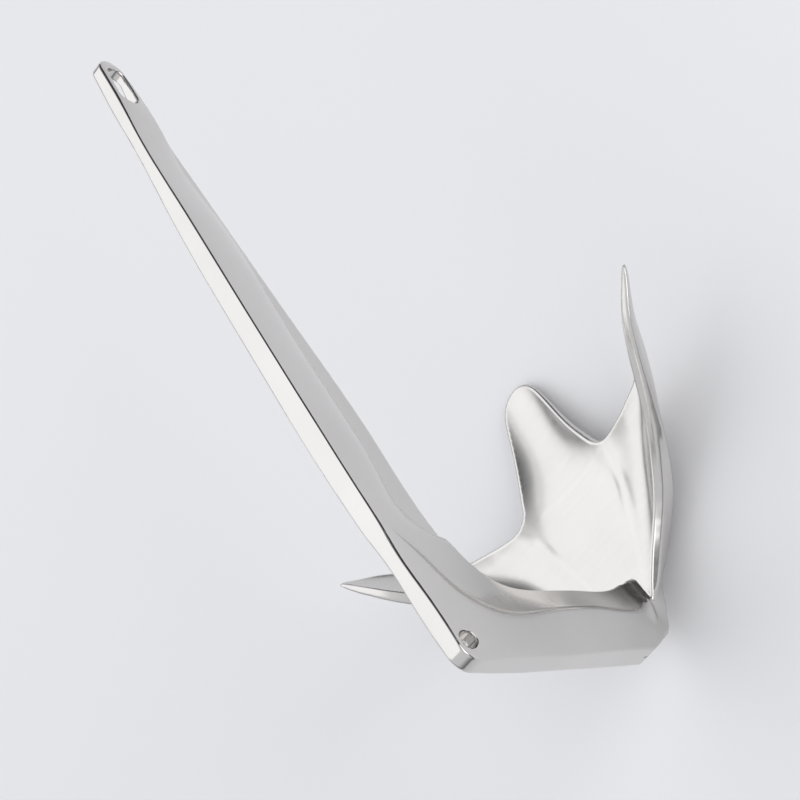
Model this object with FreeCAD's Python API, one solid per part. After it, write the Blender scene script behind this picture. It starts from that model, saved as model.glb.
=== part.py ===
import FreeCAD, Part
import math
import os

# Claw anchor in polished stainless steel, millimetres.
# The shank runs along +X to the shackle slot, the flukes lie below it, and the
# XZ plane is the plane of symmetry. Places below are measured from a point in the crown
# beside the hole for the trip line. At the end every piece is moved so that the origin is
# the centre of that hole.

os.makedirs("parts", exist_ok=True)

# trip line hole and shackle slot
TRIP_HOLE_DIAMETER = 14.0
TRIP_HOLE_X = -0.8
TRIP_HOLE_Z = 1.8
SLOT_LENGTH = 38.0
SLOT_WIDTH = 17.0
SLOT_CENTRE_X = 520.0
SLOT_CENTRE_Z = 4.5
SLOT_TILT = 5.0
CUT_DEPTH = 60.0

# where one welded piece of the anchor ends and the next begins
WELD_WIDTH = 4.0
SHANK_WELD_X = 118.0
ARM_WELD_Z = -98.0
TOE_WELD_X = 154.0
FLUKE_ROOT = (18.0, 10.0)
VALLEY = (155.0, 50.3)

# palm and centre fluke: length in plan, the upper face on the plane of symmetry, how its
# sides curl up towards the toe, and the thickness under it
HEEL_X = 14.0
HEEL_HALF_WIDTH = 6.0
TOE_X = 251.5
PALM_REAR_X = 8.0
PALM_REAR_Z = -207.0
PALM_SLOPE = -0.168
PALM_BOW = 0.000254
PALM_BOW_RUN = 110.0
TOE_CURL_X = 115.0
TOE_CURL_RUN = 90.0
TOE_CURL = 0.0125
PALM_THICKNESS = 14.5
TOE_THINNING = 9.0
PALM_LENGTH = 255.0
SIDE_THINNING_X = 60.0
SIDE_THINNING_RUN = 170.0
SIDE_THINNING = 0.0085
LEAST_THICKNESS = 2.5

# side flukes: thickness of the front rim, and where the root starts behind the valley
RIM_THICKNESS = 4.5
FLUKE_REAR_X = 35.0


def vec(x, y, z):
    return FreeCAD.Vector(x, y, z)


def curve(points):
    spline = Part.BSplineCurve()
    spline.interpolate(points)
    return spline.toShape()


def side_view(pairs):
    return [vec(x, 0, z) for x, z in pairs]


def cross_pin(radius, x, z):
    """A cylinder across the anchor, to cut a hole through it."""
    return Part.makeCylinder(radius, CUT_DEPTH, vec(x, -CUT_DEPTH / 2, z), vec(0, 1, 0))


def box(low, high):
    size = high - low
    return Part.makeBox(size.x, size.y, size.z, low)


def mirrored(shape):
    return shape.mirror(vec(0, 0, 0), vec(0, 1, 0))


# ---------------------------------------------------------------- shank and arm

# outline in side view: back of the shank, crown, rear of the arm, heel
BACK = [(537, 17.5), (474, 20.6), (355, 24.6), (245, 24.8), (142, 23), (45, 16.4), (-3, 13)]
REAR = [(-17, -2), (-15.4, -30), (-12.8, -80), (-8, -141), (-4.7, -190)]
HEEL = [(-4.7, -190), (2, -203), (HEEL_X, -221)]
FRONT = [(56, -202), (51.2, -188), (49.4, -150), (47.6, -100), (49.5, -80), (57, -64),
         (76, -50), (103, -42.4), (181, -39), (285, -30.4), (395, -20), (479, -12), (537, -7)]

back = curve(side_view(BACK))
crown_corner = Part.Arc(vec(-3, 0, 13), vec(-13.6, 0, 8.6), vec(-17, 0, -2)).toShape()
rear = curve(side_view(REAR))
heel_and_foot = Part.makePolygon(side_view(HEEL + FRONT[:1])).Edges
front = curve(side_view(FRONT))
shank_end = Part.Arc(vec(537, 0, -7), vec(546.5, 0, 6.5), vec(537, 0, 17.5)).toShape()
outline = Part.Wire([back, crown_corner, rear] + heel_and_foot + [front, shank_end])
profile = Part.Face(outline)
profile.translate(vec(0, -CUT_DEPTH / 2, 0))
slab = profile.extrude(vec(0, CUT_DEPTH, 0))

# Cross-sections along the bar. Each has the point on its inner edge, a point beyond its
# outer face, the share of the way between them where it is thickest, and half the
# thickness at the inner edge, at the thickest place and at the outer point.
STATIONS = [
    ((550, -7), (549, 20), 0.45, 2.4, 4.6, 2.2),
    ((534, -7.2), (534, 20), 0.45, 2.8, 6.6, 2.9),
    ((514, -9), (514, 22), 0.45, 3.2, 7.2, 3.2),
    ((474, -13), (474, 24), 0.60, 3.2, 5.2, 3.7),
    ((395, -20.5), (395, 27), 0.70, 3.3, 6.9, 5.7),
    ((300, -29.5), (300, 29), 0.74, 3.5, 8.1, 7.0),
    ((200, -38), (200, 28), 0.77, 3.6, 8.7, 7.8),
    ((142, -41.8), (141, 27), 0.78, 3.7, 8.6, 7.4),
    ((104, -43), (90, 24), 0.76, 3.8, 8.6, 5.6),
    ((76, -51), (40, 24), 0.56, 4.0, 9.6, 4.4),
    ((58, -64), (-24, 26), 0.38, 4.1, 11.4, 3.8),
    ((49.5, -80), (-30, -38), 0.36, 4.2, 12.6, 5.0),
    ((47.5, -104), (-22, -92), 0.35, 4.3, 13.6, 6.2),
    ((48.5, -135), (-15, -131), 0.38, 4.5, 14.4, 8.0),
    ((50, -170), (-11, -171), 0.42, 5.0, 14.4, 7.8),
    ((54, -198), (-8, -203), 0.44, 5.6, 13.0, 5.6),
    ((60, -226), (-2, -232), 0.46, 6.5, 11.0, 3.4),
]


def bar_section(inner, outer, share, half_inner, half_widest, half_outer):
    a = vec(inner[0], 0, inner[1])
    b = vec(outer[0], 0, outer[1])
    widest = a + (b - a) * share
    belly = a + (b - a) * (share + 1.0) * 0.5
    half_belly = 0.56 * half_widest + 0.44 * half_outer + 0.3
    sides = []
    for side in (1, -1):
        sides.append([
            a + vec(0, side * half_inner, 0),
            widest + vec(0, side * half_widest, 0),
            belly + vec(0, side * half_belly, 0),
            b + vec(0, side * half_outer, 0),
        ])
    port, starboard = sides
    edges = [
        Part.makeLine(port[0], port[1]),
        Part.Arc(port[1], port[2], port[3]).toShape(),
        Part.makeLine(port[3], starboard[3]),
        Part.Arc(starboard[3], starboard[2], starboard[1]).toShape(),
        Part.makeLine(starboard[1], starboard[0]),
        Part.makeLine(starboard[0], port[0]),
    ]
    return Part.Wire(edges)


blank = Part.makeLoft([bar_section(*station) for station in STATIONS], True, False)
bar = blank.common(slab)

bar = bar.cut(cross_pin(TRIP_HOLE_DIAMETER / 2, TRIP_HOLE_X, TRIP_HOLE_Z))

straight = SLOT_LENGTH / 2 - SLOT_WIDTH / 2
corner = vec(straight, CUT_DEPTH / 2, SLOT_WIDTH / 2)
slot = box(corner * -1, corner)
for end in (-straight, straight):
    slot = slot.fuse(cross_pin(SLOT_WIDTH / 2, end, 0))
slot.rotate(vec(0, 0, 0), vec(0, 1, 0), SLOT_TILT)
slot.translate(vec(SLOT_CENTRE_X, 0, SLOT_CENTRE_Z))
bar = bar.cut(slot.removeSplitter())

# ---------------------------------------------------------------- palm and centre fluke


def smooth(t):
    t = min(max(t, 0.0), 1.0)
    return t * t * (3 - 2 * t)


def palm_top(x, y):
    run = x - PALM_REAR_X
    centre = PALM_REAR_Z + PALM_SLOPE * run + PALM_BOW * run * (run - PALM_BOW_RUN)
    return centre + TOE_CURL * smooth((x - TOE_CURL_X) / TOE_CURL_RUN) * y * y


def palm_bottom(x, y):
    depth = PALM_THICKNESS - TOE_THINNING * ((x - PALM_REAR_X) / PALM_LENGTH) ** 2
    ahead = max(x - SIDE_THINNING_X, 0.0) / SIDE_THINNING_RUN
    return palm_top(x, y) - max(depth - SIDE_THINNING * ahead ** 2 * y * y, LEAST_THICKNESS)


def height_face(height):
    rows = []
    for i in range(15):
        x = -6 + i * 20
        rows.append([vec(x, y, height(x, y)) for y in range(-56, 57, 8)])
    surface = Part.BSplineSurface()
    surface.interpolate(rows)
    return surface.toShape()


# outline of the centre fluke in plan, from the port valley round the toe
TOE_SIDE = [VALLEY, (156.0, 45.6), (159.6, 41.4), (169, 36.4), (187, 29.8), (210, 23.8),
            (230, 19.2), (241, 15.2), (248.4, 9)]
toe_points = [vec(x, y, 0) for x, y in TOE_SIDE] + [vec(TOE_X, 0, 0)]
toe_points += [vec(x, -y, 0) for x, y in reversed(TOE_SIDE)]
toe = Part.BSplineCurve()
toe.interpolate(toe_points)
root_x, root_y = FLUKE_ROOT
valley_x, valley_y = VALLEY
palm_edges = [
    toe.toShape(),
    Part.makeLine(vec(valley_x, -valley_y, 0), vec(root_x, -root_y, 0)),
    Part.makeLine(vec(root_x, -root_y, 0), vec(HEEL_X, -HEEL_HALF_WIDTH, 0)),
    Part.makeLine(vec(HEEL_X, -HEEL_HALF_WIDTH, 0), vec(HEEL_X, HEEL_HALF_WIDTH, 0)),
    Part.makeLine(vec(HEEL_X, HEEL_HALF_WIDTH, 0), vec(root_x, root_y, 0)),
    Part.makeLine(vec(root_x, root_y, 0), vec(valley_x, valley_y, 0)),
]
palm_plan = Part.Face(Part.Wire(palm_edges))
palm_plan.translate(vec(0, 0, -300))
palm = palm_plan.extrude(vec(0, 0, 200))
palm = palm.cut(height_face(palm_top).extrude(vec(0, 0, 150)))
palm = palm.cut(height_face(palm_bottom).extrude(vec(0, 0, -150)))

# ---------------------------------------------------------------- side flukes

# Sections of the port fluke from its root to its tip: rear corner and front corner of
# the upper face, hollow of that face and how much deeper it is towards the front,
# thickness in the middle, height of the flat on the rear rim, and how far the rim
# swells below that flat.
FLUKE_SECTIONS = [
    ((56, 30, -215.2), (153.4, 55, -217.7), 7.0, 0.95, 12.7, 6.6, 10.5),
    ((72, 42.5, -217.2), (154.2, 61, -217.7), 6.8, 0.70, 12.2, 6.6, 10.5),
    ((88, 56.5, -217), (156.2, 70, -217.3), 6.5, 0.45, 11.5, 6.4, 9.8),
    ((105, 72, -212.5), (159.1, 81, -215.8), 6.2, 0.25, 10.7, 6.2, 8.2),
    ((118, 85.5, -205.6), (162.6, 95, -213.0), 5.8, 0.10, 9.8, 6.2, 6.2),
    ((131.5, 99, -196.5), (167.5, 107.5, -208.6), 5.4, 0.0, 9.0, 6.4, 4.6),
    ((144.7, 112.6, -185.5), (174, 118.3, -202.4), 4.8, 0.0, 8.4, 6.6, 3.4),
    ((158, 126, -174.5), (181.8, 128.8, -194), 4.0, 0.0, 7.8, 6.6, 2.6),
    ((170, 137.8, -166.8), (189, 138.2, -185), 3.0, 0.0, 7.0, 6.0, 2.0),
    ((181, 148, -163), (195, 148.6, -176.6), 2.0, 0.0, 6.2, 5.2, 1.5),
    ((192, 158.3, -161.7), (199.6, 159.2, -169.5), 0.9, 0.0, 5.0, 4.2, 0.9),
    ((200.4, 166.2, -161), (203.4, 166.6, -164.4), 0.3, 0.0, 3.2, 2.6, 0.4),
    ((203.2, 168.9, -161.2), (204.4, 169, -162.6), 0.1, 0.0, 1.4, 1.2, 0.1),
]
LEVEL_SECTIONS = 6


def fluke_section(number, rear_top, front_top, hollow, skew, thickness, flat, bead, along):
    r = vec(*rear_top)
    f = vec(*front_top)
    chord = f - r
    ahead = chord * (1.0 / chord.Length)
    turn = min(number / LEVEL_SECTIONS, 1.0)
    under = vec(0, 0, -1) * (1 - turn) + along.cross(chord).normalize() * turn
    under = (under - ahead * under.dot(ahead)).normalize()
    shares = (0.25, 0.5, 0.75)
    dips = [hollow * 4 * share * (1 - share) * (1 + skew * (2 * share - 1)) for share in shares]
    depths = [dips[0] + thickness * 1.08, dips[1] + thickness, dips[2] + thickness * 0.82]
    upper = [r] + [r + chord * a + under * d for a, d in zip(shares, dips)] + [f]
    corner = r + under * flat - ahead * (0.3 * flat)
    g = f + under * min(RIM_THICKNESS, thickness)
    lower = [r + chord * a + under * d for a, d in zip(shares, depths)]
    lower = [corner, corner + chord * 0.06 + under * bead] + lower + [g]
    return rim_wire(upper, lower, ahead)


def rim_wire(upper, lower, ahead):
    f = upper[-1]
    g = lower[-1]
    nose = (f + g) * 0.5 + ahead * (0.25 * (g - f).Length)
    edges = [
        curve(upper),
        Part.Arc(f, nose, g).toShape(),
        curve(lower[::-1]),
        Part.makeLine(lower[0], upper[0]),
    ]
    return Part.Wire(edges)


def root_section():
    slope = (valley_y - root_y) / (valley_x - root_x)

    def at(x, height):
        y = root_y + slope * (x - root_x)
        return vec(x, y, height(x, y))

    steps = [FLUKE_REAR_X + (valley_x - 1.0 - FLUKE_REAR_X) * i / 4 for i in range(5)]
    upper = [at(x, palm_top) for x in steps]
    lower = [at(x, palm_bottom) for x in steps]
    corner = upper[0] + vec(-2.0, -2.0 * slope, -6.4)
    lower[0] = corner + vec(6.0, 6.0 * slope, -9.5)
    return rim_wire(upper, [corner] + lower, vec(1, slope, 0).normalize())


sections = [root_section()]
for i, section in enumerate(FLUKE_SECTIONS):
    before = FLUKE_SECTIONS[max(i - 1, 0)]
    after = FLUKE_SECTIONS[min(i + 1, len(FLUKE_SECTIONS) - 1)]
    start = vec(*before[0]) + vec(*before[1])
    finish = vec(*after[0]) + vec(*after[1])
    sections.append(fluke_section(i + 1, *section, (finish - start).normalize()))
port_fluke = Part.makeLoft(sections, True, False)

# ---------------------------------------------------------------- fillet at the foot of the arm

# rings round the foot of the arm, from the arm down into the palm: height and flare
FOOT_RINGS = [(-184, -3), (-192, -1.2), (-200, 1.2), (-206, 4.2), (-212, 8.6), (-219, 15)]


def foot_ring(z, flare):
    half_side = 12.6 + 0.3 * flare
    points = [
        vec(54 + flare, 0, z),
        vec(50 + 0.8 * flare, 0.6 * half_side, z),
        vec(34, half_side, z),
        vec(22, 8.5, z),
        vec(16, 0, z),
        vec(22, -8.5, z),
        vec(34, -half_side, z),
        vec(50 + 0.8 * flare, -0.6 * half_side, z),
    ]
    ring = Part.BSplineCurve()
    ring.interpolate(points, PeriodicFlag=True)
    return Part.Wire(ring.toShape())


foot_blank = Part.makeLoft([foot_ring(z, flare) for z, flare in FOOT_RINGS], True, False)

# ---------------------------------------------------------------- welded pieces

FAR = 700.0


def largest(shape):
    return max(shape.Solids, key=lambda solid: solid.Volume)


def fluke_strip(inset):
    """Everything on the port side of the fluke root line moved inwards by inset."""
    slope = (valley_y - root_y) / (valley_x - root_x)
    shift = inset * math.sqrt(1 + slope * slope)

    def at(x):
        return vec(x, root_y + slope * (x - root_x) - shift, -FAR)

    corners = [at(-FAR), at(FAR), vec(FAR, FAR, -FAR), vec(-FAR, FAR, -FAR), at(-FAR)]
    return Part.Face(Part.makePolygon(corners)).extrude(vec(0, 0, 2 * FAR))


starboard_fluke = mirrored(port_fluke)
port_seam = fluke_strip(WELD_WIDTH)
port_weld = largest(palm.common(port_seam))
starboard_weld = mirrored(port_weld)
palm_core = palm.cut(port_seam).cut(mirrored(port_seam))
behind_toe = box(vec(-FAR, -FAR, -FAR), vec(TOE_WELD_X - WELD_WIDTH, FAR, FAR))
toe_seam = box(vec(TOE_WELD_X - WELD_WIDTH, -FAR, -FAR), vec(TOE_WELD_X, FAR, FAR))

claw = [palm, port_fluke, starboard_fluke]
past_weld = box(vec(SHANK_WELD_X, -FAR, -FAR), vec(FAR, FAR, FAR))
shank_seam = box(vec(SHANK_WELD_X - WELD_WIDTH, -FAR, -FAR), vec(SHANK_WELD_X, FAR, FAR))
above_weld = box(vec(-FAR, -FAR, ARM_WELD_Z), vec(SHANK_WELD_X - WELD_WIDTH, FAR, FAR))
arm_seam = box(vec(-FAR, -FAR, ARM_WELD_Z - WELD_WIDTH), vec(FAR, FAR, ARM_WELD_Z))
below_weld = box(vec(-FAR, -FAR, -FAR), vec(FAR, FAR, ARM_WELD_Z - WELD_WIDTH))

arm = bar.common(below_weld)
foot_weld = foot_blank.cut(arm)
for piece in claw:
    arm = largest(arm.cut(piece))
    foot_weld = foot_weld.cut(piece)

nodes = {
    "shank": bar.common(past_weld),
    "shank_weld": bar.common(shank_seam),
    "crown": bar.common(above_weld),
    "arm_weld": bar.common(arm_seam),
    "arm": arm,
    "foot_weld": largest(foot_weld),
    "palm": palm_core.common(behind_toe),
    "toe_weld": palm_core.common(toe_seam),
    "centre_fluke": palm_core.cut(behind_toe).cut(toe_seam),
    "port_weld": port_weld,
    "starboard_weld": starboard_weld,
    "port_fluke": port_fluke,
    "starboard_fluke": starboard_fluke,
}

for name, shape in nodes.items():
    solid = largest(shape)
    solid.translate(vec(-TRIP_HOLE_X, 0, -TRIP_HOLE_Z))
    solid.exportStep("parts/" + name + ".step")
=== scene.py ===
import math

import bmesh
import bpy
import numpy as np
from mathutils import Matrix, Vector
from mathutils.bvhtree import BVHTree


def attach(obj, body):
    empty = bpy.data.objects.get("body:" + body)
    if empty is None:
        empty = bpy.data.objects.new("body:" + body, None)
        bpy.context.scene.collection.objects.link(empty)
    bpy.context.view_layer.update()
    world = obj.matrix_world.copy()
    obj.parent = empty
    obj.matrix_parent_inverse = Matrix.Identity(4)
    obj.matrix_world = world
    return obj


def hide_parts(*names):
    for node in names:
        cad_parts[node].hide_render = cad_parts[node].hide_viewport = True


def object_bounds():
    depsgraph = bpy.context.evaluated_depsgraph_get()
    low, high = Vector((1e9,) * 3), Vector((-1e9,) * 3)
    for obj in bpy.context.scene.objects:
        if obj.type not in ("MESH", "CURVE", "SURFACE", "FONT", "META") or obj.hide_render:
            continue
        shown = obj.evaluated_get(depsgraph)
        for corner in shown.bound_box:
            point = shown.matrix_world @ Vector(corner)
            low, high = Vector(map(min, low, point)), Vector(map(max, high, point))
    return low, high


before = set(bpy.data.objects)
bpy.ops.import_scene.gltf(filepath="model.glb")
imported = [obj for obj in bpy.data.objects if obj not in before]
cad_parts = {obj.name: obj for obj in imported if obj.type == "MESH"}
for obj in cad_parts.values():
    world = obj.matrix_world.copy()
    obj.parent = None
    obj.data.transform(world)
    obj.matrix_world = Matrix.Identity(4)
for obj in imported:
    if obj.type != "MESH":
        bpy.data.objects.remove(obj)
CAD_LOW, CAD_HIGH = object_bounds()

# The steel is one continuous polished surface, so it is worked out as one solid. The shank,
# crown and arm are a side view with a thickness. The palm and flukes are a height over the
# plan, with a thickness and a shaped rim. The two melt together at the foot of the arm. The
# solid is meshed once and then cut at the weld lines into the pieces of the CAD.
# Lengths here are in millimetres from the same point as in the CAD, which lies at
# DESIGN_ORIGIN in the row frame.

MM = 0.001
DESIGN_ORIGIN = np.array([0.8, 0.0, -1.8])
CELL = 1.25
FIELD_CELL = 1.0
FAR = 1e9
LEAST_BEND = 0.3
LONGEST_STEP = 3

# ------------------------------------------------------------------ small mathematics


class Curve:
    """A smooth curve through points: cubic pieces over chord length."""

    def __init__(self, points):
        self.p = np.asarray(points, float)
        if self.p.ndim == 1:
            self.p = self.p[:, None]
        step = np.linalg.norm(np.diff(self.p, axis=0), axis=1)
        self.t = np.concatenate([[0.0], np.cumsum(step)])
        self.solve()

    def solve(self):
        """The second derivatives at the points."""
        n = len(self.p)
        h = np.diff(self.t)
        a = np.zeros((n, n))
        b = np.zeros((n, self.p.shape[1]))
        a[0, 0] = a[-1, -1] = 1.0
        a[0, 1] = a[-1, -2] = -1.0
        slope = np.diff(self.p, axis=0) / h[:, None]
        for i in range(1, n - 1):
            a[i, i - 1:i + 2] = h[i - 1], 2 * (h[i - 1] + h[i]), h[i]
            b[i] = 6 * (slope[i] - slope[i - 1])
        self.m = np.linalg.solve(a, b)

    def at(self, t, order=0):
        """The place at t, or the derivative of the given order."""
        t = np.asarray(t, float)
        i = np.clip(np.searchsorted(self.t, t) - 1, 0, len(self.t) - 2)
        h = (self.t[i + 1] - self.t[i])[..., None]
        u = ((t - self.t[i])[..., None]) / h
        p0, p1, m0, m1 = self.p[i], self.p[i + 1], self.m[i], self.m[i + 1]
        c = (p1 - p0) / h - h * (2 * m0 + m1) / 6
        s = u * h
        d = (m1 - m0) / (6 * h)
        if order == 0:
            return p0 + s * (c + s * (m0 / 2 + s * d))
        if order == 1:
            return c + s * (m0 + 3 * s * d)
        return m0 + 6 * s * d

    def dense(self, step):
        n = max(2, int(round((self.t[-1] - self.t[0]) / step)) + 1)
        return self.at(np.linspace(self.t[0], self.t[-1], n))

    def nearest(self, points, samples, rounds):
        """For every point, the parameter of the nearest place on the curve."""
        best = np.full(len(points), FAR)
        s = np.zeros(len(points))
        places = np.linspace(self.t[0], self.t[-1], samples)
        for place, q in zip(places, self.at(places)):
            d = ((points - q) ** 2).sum(1)
            closer = d < best
            best[closer] = d[closer]
            s[closer] = place
        for _ in range(rounds):
            r = points - self.at(s)
            c1, c2 = self.at(s, 1), self.at(s, 2)
            up = (r * c1).sum(1)
            down = (c1 * c1).sum(1) - (r * c2).sum(1)
            s = s + np.clip(up / np.maximum(down, LEAST_BEND), -LONGEST_STEP, LONGEST_STEP)
            s = np.clip(s, self.t[0], self.t[-1])
        return s


class Along(Curve):
    """Values that vary smoothly along a parameter."""

    def __init__(self, places, values):
        self.t = np.asarray(places, float)
        self.p = np.asarray(values, float)
        if self.p.ndim == 1:
            self.p = self.p[:, None]
        self.solve()

    def at(self, t, order=0):
        return super().at(np.clip(t, self.t[0], self.t[-1]), order)


def arc(a, through, b, count):
    """Points on the circle through three points, from a to b."""
    a, m, b = (np.array(p, float) for p in (a, through, b))
    d = 2 * np.linalg.det(np.array([m - a, b - a]))
    u, v = m - a, b - a
    centre = a + np.array([v[1] * u.dot(u) - u[1] * v.dot(v),
                           u[0] * v.dot(v) - v[0] * u.dot(u)]) / d
    angles = [math.atan2(*(p - centre)[::-1]) for p in (a, m, b)]
    unwrapped = np.unwrap(angles)
    r = np.linalg.norm(a - centre)
    t = np.linspace(unwrapped[0], unwrapped[2], count)
    return centre + r * np.stack([np.cos(t), np.sin(t)], 1)


COARSE_POINTS = 300


def signed_distance(points, loop, reach):
    """Distance from points to a closed outline, negative inside, exact within reach."""
    a, b = loop, np.roll(loop, -1, 0)
    x, y = points[:, 0], points[:, 1]
    inside = np.zeros(len(points), bool)
    for level in np.unique(y):
        crossed = (a[:, 1] > level) != (b[:, 1] > level)
        p, q = a[crossed], b[crossed]
        places = np.sort(p[:, 0] + (q - p)[:, 0] * (level - p[:, 1]) / (q - p)[:, 1])
        row = y == level
        inside[row] = np.searchsorted(places, x[row]) % 2 == 1
    coarse = np.full(len(points), FAR)
    stride = max(1, len(loop) // COARSE_POINTS)
    for q in loop[::stride]:
        coarse = np.minimum(coarse, (x - q[0]) ** 2 + (y - q[1]) ** 2)
    gap = np.linalg.norm(b - a, axis=1).max() * stride
    near = np.sqrt(coarse) < reach + gap
    found = np.full(near.sum(), FAR)
    px, py = x[near], y[near]
    for (x0, y0), (x1, y1) in zip(a, b):
        dx, dy = x1 - x0, y1 - y0
        length = dx * dx + dy * dy
        if length == 0:
            continue
        t = np.clip(((px - x0) * dx + (py - y0) * dy) / length, 0, 1)
        found = np.minimum(found, (px - x0 - t * dx) ** 2 + (py - y0 - t * dy) ** 2)
    out = np.full(len(points), float(reach))
    out[near] = np.minimum(np.sqrt(found), reach)
    return np.where(inside, -out, out)


class Field:
    """A function of two coordinates kept on a lattice, read smoothly between its points."""

    def __init__(self, low, high, cell, make):
        self.low = np.array(low, float)
        self.cell = cell
        self.n = np.ceil((np.array(high) - self.low) / cell).astype(int) + 1
        i, j = np.meshgrid(*[np.arange(k) for k in self.n], indexing="ij")
        points = np.stack([i.ravel(), j.ravel()], 1) * cell + self.low
        values = make(points)
        if values.ndim == 1:
            values = values[:, None]
        self.v = values.reshape(*self.n, -1)

    def at(self, points):
        """The values and their slopes in both directions."""
        g = (points - self.low) / self.cell
        g = np.clip(g, 1.0, np.array(self.n) - 2.001)
        i = np.floor(g).astype(int)
        f = g - i
        wx, dx = cubic_weights(f[:, 0])
        wy, dy = cubic_weights(f[:, 1])
        value = slope_x = slope_y = 0.0
        for a in range(4):
            row = row_slope = 0.0
            for b in range(4):
                v = self.v[i[:, 0] + a - 1, i[:, 1] + b - 1]
                row = row + wy[b][:, None] * v
                row_slope = row_slope + dy[b][:, None] * v
            value = value + wx[a][:, None] * row
            slope_x = slope_x + dx[a][:, None] * row
            slope_y = slope_y + wx[a][:, None] * row_slope
        return value, slope_x / self.cell, slope_y / self.cell


def cubic_weights(f):
    """Uniform cubic spline weights, and their slopes, for the four nearest lattice points."""
    g = 1 - f
    w = (g ** 3 / 6, (3 * f ** 3 - 6 * f ** 2 + 4) / 6,
         (3 * g ** 3 - 6 * g ** 2 + 4) / 6, f ** 3 / 6)
    d = (-g * g / 2, (3 * f ** 2 - 4 * f) / 2, (-3 * g ** 2 + 4 * g) / 2, f * f / 2)
    return w, d


def rounded_max(a, b, r):
    """Where both a and b are below zero is inside; their edge is rounded by radius r."""
    u, v = np.maximum(a + r, 0), np.maximum(b + r, 0)
    return np.minimum(np.maximum(a, b), -r) + np.sqrt(u * u + v * v)


def soft_min(a, b, k):
    """The smaller of a and b, going over from one to the other within k."""
    h = np.maximum(k - np.abs(a - b), 0) / k
    return np.minimum(a, b) - h * h * k / 4


def smooth(t):
    """From zero to one with level ends."""
    t = np.clip(t, 0.0, 1.0)
    return t * t * (3 - 2 * t)


# ------------------------------------------------------------------ shank, crown and arm

TRIP_HOLE = (-0.8, 1.8)
TRIP_HOLE_RADIUS = 7.0
SLOT_CENTRE = (520.0, 4.5)
SLOT_LENGTH = 38.0
SLOT_WIDTH = 17.0
SLOT_TILT = math.radians(5)

BACK = [(537, 17.5), (474, 20.6), (355, 24.6), (245, 24.8), (142, 23), (45, 16.4), (-3, 13)]
CROWN_CORNER = (-13.6, 8.6)
REAR = [(-17, -2), (-15.4, -30), (-12.8, -80), (-8, -141), (-4.7, -190)]
HEEL = [(2, -203), (14, -221), (56, -225)]
FRONT = [(56, -202), (51.2, -188), (49.4, -150), (47.6, -100), (49.5, -80), (57, -64),
         (76, -50), (103, -42.4), (181, -39), (285, -30.4), (395, -20), (479, -12), (537, -7)]
SHANK_END = (546.5, 6.5)
GUIDE_START = (62, -232)
GUIDE_END = (552, -5.8)

# place on the inner edge, place on a line just outside the outer face, share of the way
# between them where the bar is thickest, and half thickness at the inner edge, there and at
# the outer line
STATIONS = [
    ((60, -226), (-2, -232), 0.46, 6.5, 11.0, 3.4),
    ((54, -198), (-8, -203), 0.44, 5.6, 13.0, 5.6),
    ((50, -170), (-11, -171), 0.42, 5.0, 14.4, 7.8),
    ((48.5, -135), (-15, -131), 0.38, 4.5, 14.4, 8.0),
    ((47.5, -104), (-22, -92), 0.35, 4.3, 13.6, 6.2),
    ((49.5, -80), (-30, -38), 0.36, 4.2, 12.6, 5.0),
    ((58, -64), (-24, 26), 0.38, 4.1, 11.4, 3.8),
    ((76, -51), (40, 24), 0.56, 4.0, 9.6, 4.4),
    ((104, -43), (90, 24), 0.76, 3.8, 8.6, 5.6),
    ((142, -41.8), (141, 27), 0.78, 3.7, 8.6, 7.4),
    ((200, -38), (200, 28), 0.77, 3.6, 8.7, 7.8),
    ((300, -29.5), (300, 29), 0.74, 3.5, 8.1, 7.0),
    ((395, -20.5), (395, 27), 0.70, 3.3, 6.9, 5.7),
    ((474, -13), (474, 24), 0.60, 3.2, 5.2, 3.7),
    ((514, -9), (514, 22), 0.45, 3.2, 7.2, 3.2),
    ((534, -7.2), (534, 20), 0.45, 2.8, 6.6, 2.9),
    ((550, -7), (549, 20), 0.45, 2.4, 4.6, 2.2),
]
EDGE_RADIUS = 1.7
SLOT_EDGE_RADIUS = 2.4
HOLE_EDGE_RADIUS = 0.9
CREASE_SOFTNESS = 1.4
SHANK_SOFTNESS = 4.5
SHANK_START = 60
SHANK_BLEND = 70
THINNEST = 1.0
THICKEST = 16.0
BELLY_WIDEST, BELLY_OUTER, BELLY_RISE = 0.56, 0.44, 0.3
BAR_REACH = 9.0
BAR_MARGIN = 6
BAR_STEP = 1.5
CROWN_POINTS = 24
END_POINTS = 30
GUIDE_SAMPLES = 4000
NEAREST_SAMPLES = 160
NEAREST_ROUNDS = 6


def bar_outline():
    parts = [
        Curve(BACK).dense(BAR_STEP),
        arc(BACK[-1], CROWN_CORNER, REAR[0], CROWN_POINTS)[1:],
        Curve(REAR).dense(BAR_STEP)[1:],
        np.array(HEEL, float),
        Curve(FRONT).dense(BAR_STEP),
        arc(FRONT[-1], SHANK_END, BACK[0], END_POINTS)[1:-1],
    ]
    return np.concatenate(parts)


def half_thickness(t, share, inner, widest, outer):
    """The two curves that meet at the crease: a line up to the widest place, and a low arch."""
    first = inner + (widest - inner) * t / share
    u = (t - share) / (1 - share)
    belly = BELLY_WIDEST * widest + BELLY_OUTER * outer + BELLY_RISE
    second = widest + (4 * belly - 3 * widest - outer) * u
    return first, second + 2 * (widest + outer - 2 * belly) * u * u


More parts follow.
